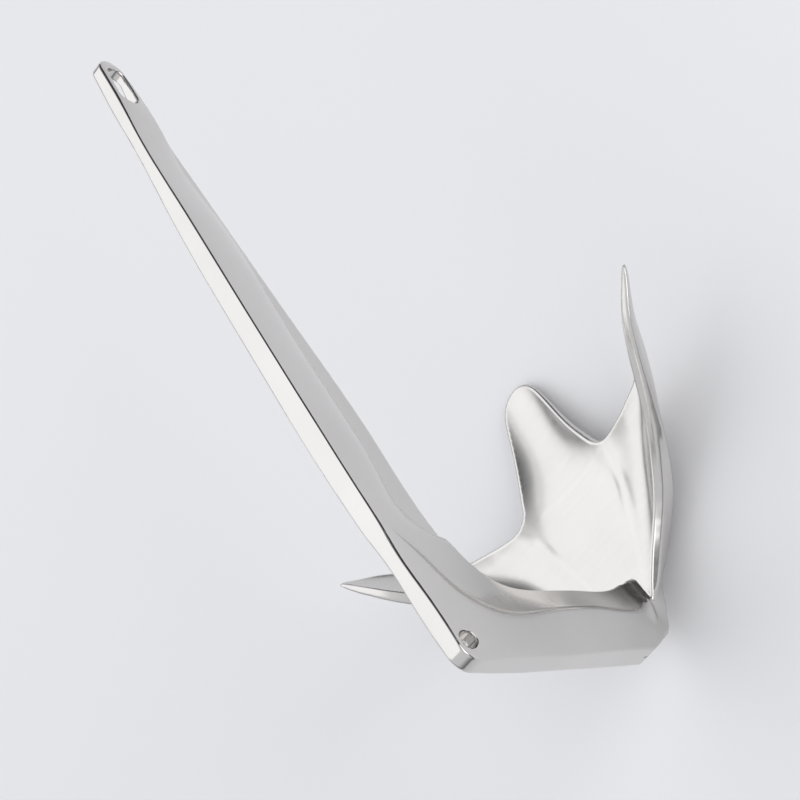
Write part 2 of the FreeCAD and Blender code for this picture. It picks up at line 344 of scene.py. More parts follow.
def bar_fields():
    """On a lattice of the side view: signed distance to the outline, and half thickness."""
    guide = Curve([GUIDE_START] + FRONT + [GUIDE_END])
    places = []
    t = np.linspace(guide.t[0], guide.t[-1], GUIDE_SAMPLES)
    for inner, *_ in STATIONS:
        gap = np.linalg.norm(guide.at(t) - np.array(inner), axis=1)
        places.append(t[np.argmin(gap)])
    depth = [math.dist(s[0], s[1]) for s in STATIONS]
    table = Along(places, [[d, *s[2:]] for d, s in zip(depth, STATIONS)])
    loop = bar_outline()

    def make(points):
        s = guide.nearest(points, NEAREST_SAMPLES, NEAREST_ROUNDS)
        r = points - guide.at(s)
        c1 = guide.at(s, 1)
        c1 = c1 / np.linalg.norm(c1, axis=1)[:, None]
        away = r[:, 1] * c1[:, 0] - r[:, 0] * c1[:, 1]
        depth, share, inner, widest, outer = table.at(s).T
        on_shank = smooth((points[:, 0] - SHANK_START) / SHANK_BLEND)
        softness = CREASE_SOFTNESS + (SHANK_SOFTNESS - CREASE_SOFTNESS) * on_shank
        first, second = half_thickness(away / depth, share, inner, widest, outer)
        half = np.clip(soft_min(first, second, softness) + softness / 4, THINNEST, THICKEST)
        return np.stack([signed_distance(points, loop, BAR_REACH), half], 1)

    low, high = loop.min(0) - BAR_MARGIN, loop.max(0) + BAR_MARGIN
    return Field(low, high, FIELD_CELL, make)


BAR = bar_fields()


def bar(p):
    """Signed measure of a point's depth in the shank, crown and arm."""
    value, sx, sz = BAR.at(p[:, [0, 2]])
    outline, half = value.T
    steep = np.sqrt(1 + sx[:, 1] ** 2 + sz[:, 1] ** 2)
    side = (np.abs(p[:, 1]) - half) / steep
    f = rounded_max(side, outline, EDGE_RADIUS)
    hole = np.hypot(p[:, 0] - TRIP_HOLE[0], p[:, 2] - TRIP_HOLE[1]) - TRIP_HOLE_RADIUS
    f = rounded_max(f, -hole, HOLE_EDGE_RADIUS)
    x, z = p[:, 0] - SLOT_CENTRE[0], p[:, 2] - SLOT_CENTRE[1]
    along = x * math.cos(SLOT_TILT) - z * math.sin(SLOT_TILT)
    across = x * math.sin(SLOT_TILT) + z * math.cos(SLOT_TILT)
    straight = (SLOT_LENGTH - SLOT_WIDTH) / 2
    slot = np.hypot(np.maximum(np.abs(along) - straight, 0), across) - SLOT_WIDTH / 2
    return rounded_max(f, -slot, SLOT_EDGE_RADIUS)


# ------------------------------------------------------------------ palm and flukes

# rear corner and front corner of the upper face, hollow, how much deeper it is to the
# front, thickness, height of the flat on the rear rim, and height of the bead below it
FLUKE_SECTIONS = [
    ((56, 30, -215.2), (153.4, 55, -217.7), 7.0, 0.30, 12.7, 6.6, 10.5),
    ((72, 42.5, -217.2), (154.2, 61, -217.7), 6.8, 0.25, 12.2, 6.6, 10.5),
    ((88, 56.5, -217), (156.2, 70, -217.3), 6.5, 0.20, 11.5, 6.4, 9.8),
    ((105, 72, -212.5), (159.1, 81, -215.8), 6.2, 0.12, 10.7, 6.2, 8.2),
    ((118, 85.5, -205.6), (162.6, 95, -213.0), 5.8, 0.06, 9.8, 6.2, 6.2),
    ((131.5, 99, -196.5), (167.5, 107.5, -208.6), 5.4, 0.0, 9.0, 6.4, 4.6),
    ((144.7, 112.6, -185.5), (174, 118.3, -202.4), 4.8, 0.0, 8.4, 6.6, 3.4),
    ((158, 126, -174.5), (181.8, 128.8, -194), 4.0, 0.0, 7.8, 6.6, 2.6),
    ((170, 137.8, -166.8), (189, 138.2, -185), 3.0, 0.0, 7.0, 6.0, 2.0),
    ((181, 148, -163), (195, 148.6, -176.6), 2.0, 0.0, 6.2, 5.2, 1.5),
    ((192, 158.3, -161.7), (199.6, 159.2, -169.5), 0.9, 0.0, 5.0, 4.2, 0.9),
    ((200.4, 166.2, -161), (203.4, 166.6, -164.4), 0.3, 0.0, 3.2, 2.6, 0.4),
]
FLUKE_TIP = (205.0, 170.0)
FLUKE_ROOT = (18.0, 10.0)
HEEL_SHOULDER = (36, 17.2)
VALLEY = (155.0, 50.3)
VALLEY_EDGE = 153.9
TOE_SIDE = [(156.0, 45.6), (159.6, 41.4), (169, 36.4), (187, 29.8), (210, 23.8),
            (230, 19.2), (241, 15.2), (248.4, 9)]
TOE_X = 251.5
HEEL_X = 14.0
HEEL_Y = 6.0
# The palm's upper face starts at this x and z, falls by a slope and sags along a parabola.
PALM_START, PALM_Z = 8, -207
PALM_FALL, PALM_SAG, SAG_END = 0.168, 0.000254, 118
TURN_UP, TURN_UP_START, TURN_UP_BLEND = 0.0125, 115, 90
PALM_THICKNESS, PALM_THINNING, PALM_LENGTH = 14.5, 9.0, 255
SIDE_THINNING, SIDE_THINNING_START, SIDE_THINNING_BLEND = 0.0085, 60, 170
THINNEST_PALM = 2.5
TAPER_PLACES = [0.25, 0.5, 0.75]
TAPER = [1.08, 1.0, 0.82]
FRONT_START, FRONT_BLEND = 0.7, 0.3
FRONT_RIM = 4.5
RIM_REACH = 30.0
CLAW_STEP = 0.8
CLAW_MARGIN = 10
INWARD_MARGIN = 14.0
TIP_MARGIN = 3.0
FACE_MARGIN = 0.6
FACE_COLUMNS = 60
STEEPEST = 3.5
SPREAD_ROUNDS = 45
FAR_HEIGHT = -205.0
FOOT_ROUNDS = 5
FACE_SOFTNESS = 1.8
MID_CHORD = 0.6
ROOT_START = -8.0
ROOT_BLEND = 18.0
VALLEY_SOFTNESS = 7.0
VALLEY_SHIFT = 6
VALLEY_NEAR = 10
VALLEY_FADE = 22
HEEL_END = 24.0
HEEL_BLEND = 20.0
# where on a fluke, from its rear edge, 0, to its front edge, 1, the rear rim's shape ends
REAR_START = 0.2
REAR_BLEND = 0.3
# how far in from the rear edge the rim keeps its full thickness, and fades out
RIM_WIDTH = 3
RIM_BLEND = 10
# how the rear rim leans outwards over the flat, and back in over the bead below it
LEAN_OUT = 0.3
LEAN_IN = 0.5
LEAN_SOFTNESS = 1.5
LEAN_LIMITS = (-9, 4)
DEPTH_LIMITS = (-25, 30)
FRONT_RADIUS = 2.2
REAR_RADIUS_DROP = 1.0
ROUNDED_SHARE = 0.46


def palm_top(x, y):
    """Height of the palm and centre fluke: a slight hollow along x, turned up at the sides."""
    x0 = x - PALM_START
    centre = PALM_Z - PALM_FALL * x0 + PALM_SAG * x0 * (x - SAG_END)
    return centre + TURN_UP * smooth((x - TURN_UP_START) / TURN_UP_BLEND) * y * y


def palm_thickness(x, y):
    """Thickest at the heel, and thinner towards the point and the sides."""
    depth = PALM_THICKNESS - PALM_THINNING * ((x - PALM_START) / PALM_LENGTH) ** 2
    ahead = np.maximum(x - SIDE_THINNING_START, 0.0) / SIDE_THINNING_BLEND
    thinning = SIDE_THINNING * ahead ** 2
    return np.maximum(depth - thinning * y * y, THINNEST_PALM)


def dip_profile(a, skew):
    """The hollow across a fluke from rear corner, 0, to front corner, 1, and straight beyond."""
    inner = np.clip(a, 0, 1)
    inside = 4 * inner * (1 - inner) * (1 + skew * (2 * inner - 1))
    behind, ahead = 4 * (1 - skew), -4 * (1 + skew)
    return inside + np.where(a < 0, behind * a, 0) + np.where(a > 1, ahead * (a - 1), 0)


def fluke_sections():
    """Along the port fluke: each section's rear corner, heading, plan length, fall and values."""
    rows, middle = [], []
    for rear, front, *values in FLUKE_SECTIONS:
        r, f = np.array(rear, float), np.array(front, float)
        x, y, fall = f - r
        run = math.hypot(x, y)
        rows.append([*r, math.atan2(y, x), run, fall / run, *values])
        middle.append((r + f) / 2)
    gaps = np.linalg.norm(np.diff(np.array(middle), axis=0), axis=1)
    return Along(np.concatenate([[0.0], np.cumsum(gaps)]), rows)


def fluke_face():
    """A grid over the port fluke's upper face and just past its edges, and the values there."""
    table = fluke_sections()
    u = np.arange(-INWARD_MARGIN, table.t[-1] + TIP_MARGIN, 1.0)
    kept = np.clip(u, table.t[0], table.t[-1])
    rows = table.at(kept)
    beyond = table.at(kept, 1) * (u - kept)[:, None]
    rows[:, :3] += beyond[:, :3]
    x, y, z, heading, run, fall, hollow, skew, thick, flat, bead = rows.T[..., None]
    v = -FACE_MARGIN + np.linspace(0, 1, FACE_COLUMNS) * (run + 2 * FACE_MARGIN)
    a = v / run
    points = np.stack([x + np.cos(heading) * v, y + np.sin(heading) * v,
                       z + fall * v - hollow * dip_profile(a, skew)], 2)
    taper = np.interp(a, TAPER_PLACES, TAPER)
    rim = np.minimum(FRONT_RIM, thick)
    to_rim = smooth((a - FRONT_START) / FRONT_BLEND)
    thickness = thick * taper * (1 - to_rim) + rim * to_rim
    values = np.stack(np.broadcast_arrays(thickness, np.clip(a, -0.5, 1.5), flat, bead), 2)
    return points, values


def seen_from_above(points, grid, values):
    """Height and values of a grid's face at points of the plan, and not-a-number beside it."""
    rows, columns = grid.shape[:2]
    index = np.arange(rows * columns).reshape(rows, columns)
    a, b, c, d = index[:-1, :-1], index[1:, :-1], index[1:, 1:], index[:-1, 1:]
    faces = np.concatenate([np.stack(t, 2).reshape(-1, 3) for t in ((a, b, c), (a, c, d))])
    corner = np.concatenate([grid.reshape(-1, 3), values.reshape(rows * columns, -1)], 1)
    tree = BVHTree.FromPolygons(grid.reshape(-1, 3).tolist(), faces.tolist(), all_triangles=True)
    down = Vector((0, 0, -1))
    found = [tree.ray_cast(Vector((x, y, 0)), down)[2] for x, y in points.tolist()]
    hit = np.array([k is not None for k in found])
    chosen = corner[faces[[k for k in found if k is not None]]]
    first, second, third = (chosen[:, k] for k in range(3))
    e1, e2 = second[:, :2] - first[:, :2], third[:, :2] - first[:, :2]
    q = points[hit] - first[:, :2]
    area = e1[:, 0] * e2[:, 1] - e1[:, 1] * e2[:, 0]
    s = ((q[:, 0] * e2[:, 1] - q[:, 1] * e2[:, 0]) / area)[:, None]
    t = ((e1[:, 0] * q[:, 1] - e1[:, 1] * q[:, 0]) / area)[:, None]
    out = np.full((len(points), corner.shape[1] - 2), np.nan)
    out[hit] = (first + s * (second - first) + t * (third - first))[:, 2:]
    return out


def neighbours(known, height, slopes, values):
    """For every lattice point: its number of known neighbours, and what they lead to, summed."""
    count = np.zeros(known.shape)
    total = 0.0
    for axis in (0, 1):
        for step in (-1, 1):
            k = np.roll(known, step, axis)
            ahead = height + step * slopes[..., axis]
            stack = np.concatenate([ahead[..., None], slopes, values], 2)
            total = total + np.roll(stack, step, axis) * k[..., None]
            count += k
    return count, total


def spread(lattice):
    """Carries a lattice beyond its known part: its first value goes on with its slope."""
    known = ~np.isnan(lattice[..., 0])
    v = np.where(known[..., None], lattice, 0.0)
    height, values = v[..., 0].copy(), v[..., 1:].copy()
    slopes = np.zeros((*known.shape, 2))
    sure = known.copy()
    for axis in (0, 1):
        before, after = np.roll(height, 1, axis), np.roll(height, -1, axis)
        slopes[..., axis] = (after - before) / 2
        for step in (-2, -1, 1, 2):
            sure &= np.roll(known, step, axis)
    slopes = np.clip(slopes, -STEEPEST, STEEPEST)
    for _ in range(SPREAD_ROUNDS):
        count, total = neighbours(sure, height, slopes, values)
        fresh = ~sure & (count > 0)
        mean = total[fresh] / count[fresh][:, None]
        slopes[fresh] = mean[:, 1:3]
        rest = fresh & ~known
        mean = total[rest] / count[rest][:, None]
        height[rest] = mean[:, 0]
        values[rest] = mean[:, 3:]
        sure |= fresh
        known |= rest
    height[~known] = FAR_HEIGHT
    return np.concatenate([height[..., None], values], 2)


def blurred(lattice, width):
    """A lattice softened by a bell curve, width cells wide."""
    reach = int(3 * width) + 1
    step = np.arange(-reach, reach + 1)
    bell = np.exp(-0.5 * (step / width) ** 2)
    bell /= bell.sum()
    for axis in (0, 1):
        padding = [(reach, reach) if k == axis else (0, 0) for k in range(lattice.ndim)]
        wide = np.pad(lattice, padding, mode="edge")
        size = lattice.shape[axis]
        lattice = sum(b * np.take(wide, np.arange(k, k + size), axis) for k, b in enumerate(bell))
    return lattice


def claw_outline():
    """The outline of the palm and flukes in the plan."""
    front = [(TOE_X, 0)] + TOE_SIDE[::-1] + [(VALLEY_EDGE, VALLEY[1])]
    front += [s[1][:2] for s in FLUKE_SECTIONS]
    rear = [s[0][:2] for s in FLUKE_SECTIONS[::-1]]
    mirrored_front = [(x, -y) for x, y in front[:0:-1]]
    dense = Curve(mirrored_front + front).dense(CLAW_STEP)
    edge = dense[dense[:, 1] >= 0]
    behind = Curve(rear + [HEEL_SHOULDER, FLUKE_ROOT]).dense(CLAW_STEP)
    half = np.concatenate([edge, [FLUKE_TIP], behind, [(HEEL_X, HEEL_Y), (HEEL_X, 0)]])
    other = half[::-1] * [1, -1]
    return np.concatenate([half, other[1:-1]])


def past_root(points):
    """How far points of the plan lie beyond the line where the port fluke leaves the palm."""
    (x0, y0), (x1, y1) = FLUKE_ROOT, VALLEY
    along = np.array([x1 - x0, y1 - y0]) / math.hypot(x1 - x0, y1 - y0)
    return (points[:, 1] - y0) * along[0] - (points[:, 0] - x0) * along[1]


def near_valley(points):
    """One at the valleys between the toe and the side flukes, and zero away from them."""
    ahead = points[:, 0] - VALLEY[0] + VALLEY_SHIFT
    gap = np.hypot(ahead, np.abs(points[:, 1]) - VALLEY[1])
    return 1 - smooth((gap - VALLEY_NEAR) / VALLEY_FADE)


def claw_fields():
    """Over the plan: height of the upper face, and the values that shape the rim."""
    loop = claw_outline()
    grid, face_values = fluke_face()

    def palm_values(points):
        x, y = points[:, 0], np.abs(points[:, 1])
        share = smooth((past_root(np.stack([x, y], 1)) - ROOT_START) / ROOT_BLEND)
        share = share * smooth((x - HEEL_END) / HEEL_BLEND)
        return np.stack(np.broadcast_arrays(
            palm_top(x, y), palm_thickness(x, y), MID_CHORD, 0.0, 0.0, share), 1)

    def fluke_values(points):
        folded = np.stack([points[:, 0], np.abs(points[:, 1])], 1)
        return seen_from_above(folded, grid, face_values)

    def field(make):
        low, high = loop.min(0) - CLAW_MARGIN, loop.max(0) + CLAW_MARGIN
        return Field(low, high, FIELD_CELL, make)

    palm = field(palm_values).v
    palm, share = palm[..., :5], palm[..., 5:]
    top = field(fluke_values)
    lattice = blurred(spread(top.v) * share + palm * (1 - share), FACE_SOFTNESS)
    height = lattice[..., :1]
    height += field(near_valley).v * (blurred(height, VALLEY_SOFTNESS) - height)
    rim = field(lambda points: signed_distance(points, loop, RIM_REACH))
    rim.v = np.concatenate([lattice[..., 1:2], rim.v, lattice[..., 2:]], 2)
    top.v = height
    return top, rim


CLAW_TOP, CLAW_RIM = claw_fields()


def claw(p):
    """Signed measure of a point's depth in the palm and flukes."""
    plan = p[:, :2]
    foot = plan
    for _ in range(FOOT_ROUNDS):
        value, sx, sy = CLAW_TOP.at(foot)
        gx, gy = sx[:, 0], sy[:, 0]
        steep = np.sqrt(1 + gx * gx + gy * gy)
        here = value[:, 0] + gx * (plan[:, 0] - foot[:, 0]) + gy * (plan[:, 1] - foot[:, 1])
        depth = np.clip((here - p[:, 2]) / steep, *DEPTH_LIMITS)
        foot = plan - (depth / steep)[:, None] * np.stack([gx, gy], 1)
    value, sx, sy = CLAW_RIM.at(foot)
    thick, rim, a, flat, bead = value.T
    climb = gx * sx[:, 1] + gy * sy[:, 1]
    rim = rim * np.sqrt(1 + climb * climb)
    rear = 1 - smooth((a - REAR_START) / REAR_BLEND)
    edge = rear * (1 - smooth((-rim - RIM_WIDTH) / RIM_BLEND))
    thick = thick + edge * np.maximum(flat + bead - thick, 0)
    below_flat = LEAN_OUT * flat - LEAN_IN * (depth - flat)
    lean = soft_min(LEAN_OUT * depth, below_flat, LEAN_SOFTNESS)
    rim = rim - rear * np.clip(lean, *LEAN_LIMITS)
    radius = np.minimum(FRONT_RADIUS - REAR_RADIUS_DROP * rear, ROUNDED_SHARE * thick)
    body = np.maximum(-depth, depth - thick)
    return rounded_max(body, rim, radius)


FOOT_FILLET = 14.0
SEAM_FILLET = 1.0
FILLET_BELOW = 3
FILLET_HEIGHT = 8
FILLET_START = 8
FILLET_BLEND = 14
CLAW_CEILING = -120


def foot_fillet(p):
    """How wide the arm and the claw melt together: widely above the palm, hardly at the heel."""
    above = smooth((p[:, 2] - palm_top(p[:, 0], p[:, 1]) + FILLET_BELOW) / FILLET_HEIGHT)
    ahead = smooth((p[:, 0] - FILLET_START) / FILLET_BLEND)
    return SEAM_FILLET + FOOT_FILLET * above * ahead


def solid(p):
    """Signed measure of a point's depth in the anchor, negative inside."""
    f = bar(p)
    low = p[:, 2] < CLAW_CEILING
    if low.any():
        f[low] = soft_min(f[low], claw(p[low]), foot_fillet(p[low]))
    return f


# ------------------------------------------------------------------ mesh of the surface

CORNERS = [(i, j, k) for i in (0, 1) for j in (0, 1) for k in (0, 1)]
BLOCK = 4
LATTICE_MARGIN = 4
HALF_DIAGONAL = 0.87
BLOCK_SLACK = 2.5
FAR_MEASURE = 9
BATCH = 150000


def sampled_solid():
    """The solid's measure on a lattice round the anchor; far from its surface only the sign."""
    block = BLOCK * CELL
    low = np.array(CAD_LOW) / MM - DESIGN_ORIGIN - LATTICE_MARGIN
    high = np.array(CAD_HIGH) / MM - DESIGN_ORIGIN + LATTICE_MARGIN
    count = np.ceil((high - low) / block).astype(int)
    blocks = np.indices(count).reshape(3, -1).T
    middle = in_batches(low + (blocks + 0.5) * block - 0.5 * CELL)
    reach = HALF_DIAGONAL * block + BLOCK_SLACK
    f = np.clip(middle, -FAR_MEASURE, FAR_MEASURE).reshape(count).astype(np.float32)
    for axis in range(3):
        f = np.repeat(f, BLOCK, axis)
    inner = np.indices((BLOCK,) * 3).reshape(3, -1).T
    fine = (blocks[np.abs(middle) < reach][:, None] * BLOCK + inner[None]).reshape(-1, 3)
    f[tuple(fine.T)] = in_batches(low + fine * CELL)
    return f, low


def in_batches(points):
    return np.concatenate([solid(points[k:k + BATCH]) for k in range(0, len(points), BATCH)])


def surface_net(f, low):
    """Quads where the measure crosses zero: a vertex per crossed cell, a quad per crossed edge."""
    inside = f < 0
    n = np.array(f.shape)
    count = np.zeros(n - 1, np.uint8)
    for i, j, k in CORNERS:
        count += inside[i:n[0] - 1 + i, j:n[1] - 1 + j, k:n[2] - 1 + k]
    cells = np.argwhere((count > 0) & (count < 8))
    index = np.full(n - 1, -1, np.int32)
    index[tuple(cells.T)] = np.arange(len(cells))
    value = {c: f[tuple((cells + c).T)].astype(float) for c in CORNERS}
    total = np.zeros((len(cells), 3))
    hits = np.zeros(len(cells))
    for a in CORNERS:
        for axis in range(3):
            if a[axis]:
                continue
            b = tuple(v + (k == axis) for k, v in enumerate(a))
            crossed = (value[a] < 0) != (value[b] < 0)
            t = value[a][crossed] / (value[a][crossed] - value[b][crossed])
            point = np.tile(np.array(a, float), (len(t), 1))
            point[:, axis] += t
            total[crossed] += point
            hits[crossed] += 1
    vertices = low + CELL * (cells + total / hits[:, None])
    quads = []
    for axis in range(3):
        u, v = (axis + 1) % 3, (axis + 2) % 3
        first = [slice(None)] * 3
        second = [slice(None)] * 3
        first[axis], second[axis] = slice(0, -1), slice(1, None)
        here, there = inside[tuple(first)], inside[tuple(second)]
        edges = np.argwhere(here != there)
        edges = edges[(edges[:, u] > 0) & (edges[:, v] > 0)]
        ring = []
        for du, dv in ((1, 1), (0, 1), (0, 0), (1, 0)):
            q = edges.copy()
            q[:, u] -= du
            q[:, v] -= dv
            ring.append(index[tuple(q.T)])
        ring = np.stack(ring, 1)
        flip = there[tuple(edges.T)]
        ring[flip] = ring[flip][:, ::-1]
        quads.append(ring)
    return vertices, np.concatenate(quads)


def slope_of_solid(p, step):
    g = np.empty_like(p)
    for axis in range(3):
        shift = np.zeros(3)
        shift[axis] = step
        g[:, axis] = (solid(p + shift) - solid(p - shift)) / (2 * step)
    return g


SETTLE_STEP = 0.15
NORMAL_STEP = 0.3
LEAST_SLOPE = 0.04
SETTLE_SHARE = 0.5
SETTLE_ROUNDS, QUICK_ROUNDS = 5, 3


def settle(vertices, quads, rounds):
    """Evens the mesh along the surface and puts every vertex on it."""
    n = len(vertices)
    a, b = quads.ravel(), np.roll(quads, -1, 1).ravel()
    near = np.bincount(a, minlength=n) + np.bincount(b, minlength=n)
    for _ in range(rounds):
        total = [np.bincount(a, v[b], n) + np.bincount(b, v[a], n) for v in vertices.T]
        mean = np.stack(total, 1) / near[:, None]
        g = slope_of_solid(vertices, SETTLE_STEP)
        size = np.maximum((g * g).sum(1)[:, None], LEAST_SLOPE)
        pull = mean - vertices
        pull -= g * ((pull * g).sum(1)[:, None] / size)
        vertices = vertices + SETTLE_SHARE * pull
        f = solid(vertices)[:, None]
        vertices = vertices - np.clip(f, -1, 1) * g / size
    return vertices


def largest_part(vertices, quads):
    """Drops specks of surface that aren't joined to the rest."""
    a, b = quads.ravel(), np.roll(quads, -1, 1).ravel()
    label = np.arange(len(vertices))
    while True:
        lower = label.copy()
        np.minimum.at(lower, a, label[b])
        np.minimum.at(lower, b, label[a])
        lower = lower[lower]
        if (lower == label).all():
            break
        label = lower
    kept = label == np.argmax(np.bincount(label))
    place = np.cumsum(kept) - 1
    return vertices[kept], place[quads[kept[quads[:, 0]]]]


def anchor_surface():
    """The whole anchor's vertices and quads, in millimetres from the design origin."""
    vertices, quads = largest_part(*surface_net(*sampled_solid()))
    return settle(vertices, quads, SETTLE_ROUNDS), quads


# ------------------------------------------------------------------ cutting into pieces

WELD_WIDTH = 4.0
SHANK_WELD_X = 118.0
ARM_WELD_Z = -98.0
TOE_WELD_X = 154.0
FOOT_Z = -186.0
# The flukes rise above the foot of the arm, but only further out than this.
ARM_REACH = 40.0
BAR_BOTTOM = -150
CUT_MARGIN = 3 * CELL
CUT_TOLERANCE = 1e-4


def keep(point, normal, reach=np.inf):
    """A half-space, which counts only for what lies within reach of the plane of symmetry."""
    return np.array(point, float), np.array(normal, float), reach


def turned(plane):
    """The other side of a plane."""
    point, normal, reach = plane
    return point, -normal, reach


def root_plane(inset, side):
    """The half-space outside the vertical plane along a side fluke's root."""
    (x0, y0), (x1, y1) = FLUKE_ROOT, VALLEY
    along = np.array([x1 - x0, y1 - y0, 0.0])
    along /= np.linalg.norm(along)
    normal = np.array([-along[1], along[0], 0.0])
    point = np.array([x0, y0, 0.0]) - inset * normal
    return keep(point * [1, side, 1], normal * [1, side, 1])


BELOW_FOOT = keep((0, 0, FOOT_Z), (0, 0, -1))
AHEAD_OF_SHANK_WELD = keep((SHANK_WELD_X, 0, 0), (1, 0, 0))
BEHIND_SHANK_WELD = keep((SHANK_WELD_X - WELD_WIDTH, 0, 0), (-1, 0, 0))
ABOVE_ARM_WELD = keep((0, 0, ARM_WELD_Z), (0, 0, 1))
BELOW_ARM_WELD = keep((0, 0, ARM_WELD_Z - WELD_WIDTH), (0, 0, -1))
BAR_ONLY = keep((0, 0, BAR_BOTTOM), (0, 0, 1))
CLAW_ONLY = keep((0, 0, FOOT_Z), (0, 0, -1), ARM_REACH)
BETWEEN_FLUKES = [keep((0, ARM_REACH, 0), (0, -1, 0)), keep((0, -ARM_REACH, 0), (0, 1, 0))]
BEHIND_TOE = keep((TOE_WELD_X - WELD_WIDTH, 0, 0), (-1, 0, 0))
AHEAD_OF_TOE = keep((TOE_WELD_X, 0, 0), (1, 0, 0))
PORT_ROOT, STARBOARD_ROOT = root_plane(0, 1), root_plane(0, -1)
PORT_INNER, STARBOARD_INNER = root_plane(WELD_WIDTH, 1), root_plane(WELD_WIDTH, -1)
BETWEEN_ROOTS = [BELOW_FOOT, turned(PORT_INNER), turned(STARBOARD_INNER)]

# piece: the CAD nodes it stands for, its material slot, and the half-spaces it fills
PIECES = {
    "shank": (["shank"], "polished_bar", [AHEAD_OF_SHANK_WELD, BAR_ONLY]),
    "shank_weld": (["shank_weld"], "dressed_weld",
                   [turned(AHEAD_OF_SHANK_WELD), turned(BEHIND_SHANK_WELD), BAR_ONLY]),
    "crown": (["crown"], "polished_bar", [BEHIND_SHANK_WELD, ABOVE_ARM_WELD]),
    "arm_weld": (["arm_weld"], "dressed_weld", [turned(ABOVE_ARM_WELD), turned(BELOW_ARM_WELD)]),
    "arm": (["arm"], "polished_bar", BETWEEN_FLUKES + [BELOW_ARM_WELD, turned(BELOW_FOOT)]),
    "palm": (["palm", "foot_weld"], "polished_plate", BETWEEN_ROOTS + [BEHIND_TOE]),
    "toe_weld": (["toe_weld"], "dressed_weld",
                 BETWEEN_ROOTS + [turned(BEHIND_TOE), turned(AHEAD_OF_TOE)]),
    "centre_fluke": (["centre_fluke"], "polished_plate", BETWEEN_ROOTS + [AHEAD_OF_TOE]),
    "port_weld": (["port_weld"], "dressed_weld", [BELOW_FOOT, PORT_INNER, turned(PORT_ROOT)]),
    "port_fluke": (["port_fluke"], "polished_plate", [CLAW_ONLY, PORT_ROOT]),
    "starboard_weld": (["starboard_weld"], "dressed_weld",
                       [BELOW_FOOT, STARBOARD_INNER, turned(STARBOARD_ROOT)]),
    "starboard_fluke": (["starboard_fluke"], "polished_plate", [CLAW_ONLY, STARBOARD_ROOT]),
}


def cut_piece(name, vertices, quads, planes):
    """The part of the surface within the half-spaces.

    A cut gets a flat face where its rim is a closed loop. Where several planes meet inside
    the claw the rims stay open, behind the neighbouring pieces.
    """
    within = np.ones(len(vertices), bool)
    for point, normal, reach in planes:
        beyond = np.abs(vertices[:, 1]) > reach
        within &= ((vertices - point) @ normal > -CUT_MARGIN) | beyond
    chosen = quads[within[quads].all(1)]
    used, chosen = np.unique(chosen, return_inverse=True)
    chosen = chosen.reshape(-1, 4)
    mesh = bpy.data.meshes.new(name)
    mesh.from_pydata(vertices[used].tolist(), [], chosen.tolist())
    bm = bmesh.new()
    bm.from_mesh(mesh)
    caps = bm.faces.layers.int.new("cap")
    for point, normal, reach in planes:
        geometry = [v for v in bm.verts if abs(v.co.y) < reach]
        near = set(geometry)
        geometry += [part for part in bm.edges[:] + bm.faces[:] if near.issuperset(part.verts)]
        cut = bmesh.ops.bisect_plane(
            bm, geom=geometry, dist=CUT_TOLERANCE, plane_co=Vector(point),
            plane_no=Vector(normal), clear_inner=True)
        edges = [part for part in cut["geom_cut"] if isinstance(part, bmesh.types.BMEdge)]
        rim = [e for e in edges if e.is_boundary]
        if rim:
            made = bmesh.ops.edgeloop_fill(bm, edges=rim)
            for face in made["faces"]:
                face[caps] = 1
                if face.normal.dot(Vector(normal)) > 0:
                    face.normal_flip()
    loose = [v for v in bm.verts if not v.link_faces]
    bmesh.ops.delete(bm, geom=loose, context="VERTS")
    bm.to_mesh(mesh)
    bm.free()
    return mesh


def finish_normals(mesh):
    """Shading normals from the solid itself on the polished skin, flat ones on the cut faces."""
    co = np.empty(len(mesh.vertices) * 3)
    mesh.vertices.foreach_get("co", co)
    co = co.reshape(-1, 3)
    normal = slope_of_solid(co, NORMAL_STEP)
    normal /= np.maximum(np.linalg.norm(normal, axis=1), 1e-9)[:, None]
    cap = np.zeros(len(mesh.polygons), np.int32)
    mesh.attributes["cap"].data.foreach_get("value", cap)
    mesh.polygons.foreach_set("use_smooth", cap == 0)
    corner_vertex = np.empty(len(mesh.loops), np.int32)
    mesh.loops.foreach_get("vertex_index", corner_vertex)
    sizes = np.empty(len(mesh.polygons), np.int32)
    mesh.polygons.foreach_get("loop_total", sizes)
    face = np.repeat(np.arange(len(sizes)), sizes)
    flat = np.empty(len(sizes) * 3)
    mesh.polygons.foreach_get("normal", flat)
    flat = flat.reshape(-1, 3)
    corner = np.where(cap[face][:, None] == 1, flat[face], normal[corner_vertex])
    mesh.attributes.remove(mesh.attributes["cap"])
    co = (co + DESIGN_ORIGIN) * MM
    mesh.vertices.foreach_set("co", co.ravel())
    mesh.normals_split_custom_set(corner.tolist())
    mesh.update()


# ------------------------------------------------------------------ materials


STEEL_TINT = (0.68, 0.665, 0.65)
CLOUD_TINT = [0.94 * c for c in STEEL_TINT]
CLOUD_SCALE, CLOUD_DETAIL = 14.0, 5.0
STREAK_SCALE, STREAK_DETAIL = 60.0, 6.0
ROUGHNESS_SPREAD = 1.35
NOISE_LOW, NOISE_HIGH = 0.3, 0.7


def noise(tree, vector, scale, detail):
    node = tree.nodes.new("ShaderNodeTexNoise")
    node.inputs["Scale"].default_value = scale
    node.inputs["Detail"].default_value = detail
    tree.links.new(vector, node.inputs["Vector"])
    return node.outputs["Fac"]


def ramped(tree, value, start, end, low, high):
    """A map range node that turns start to end into low to high."""
    ramp = tree.nodes.new("ShaderNodeMapRange")
    tree.links.new(value, ramp.inputs["Value"])
    numbers = {"From Min": start, "From Max": end, "To Min": low, "To Max": high}
    for socket, number in numbers.items():
        ramp.inputs[socket].default_value = number
    return ramp


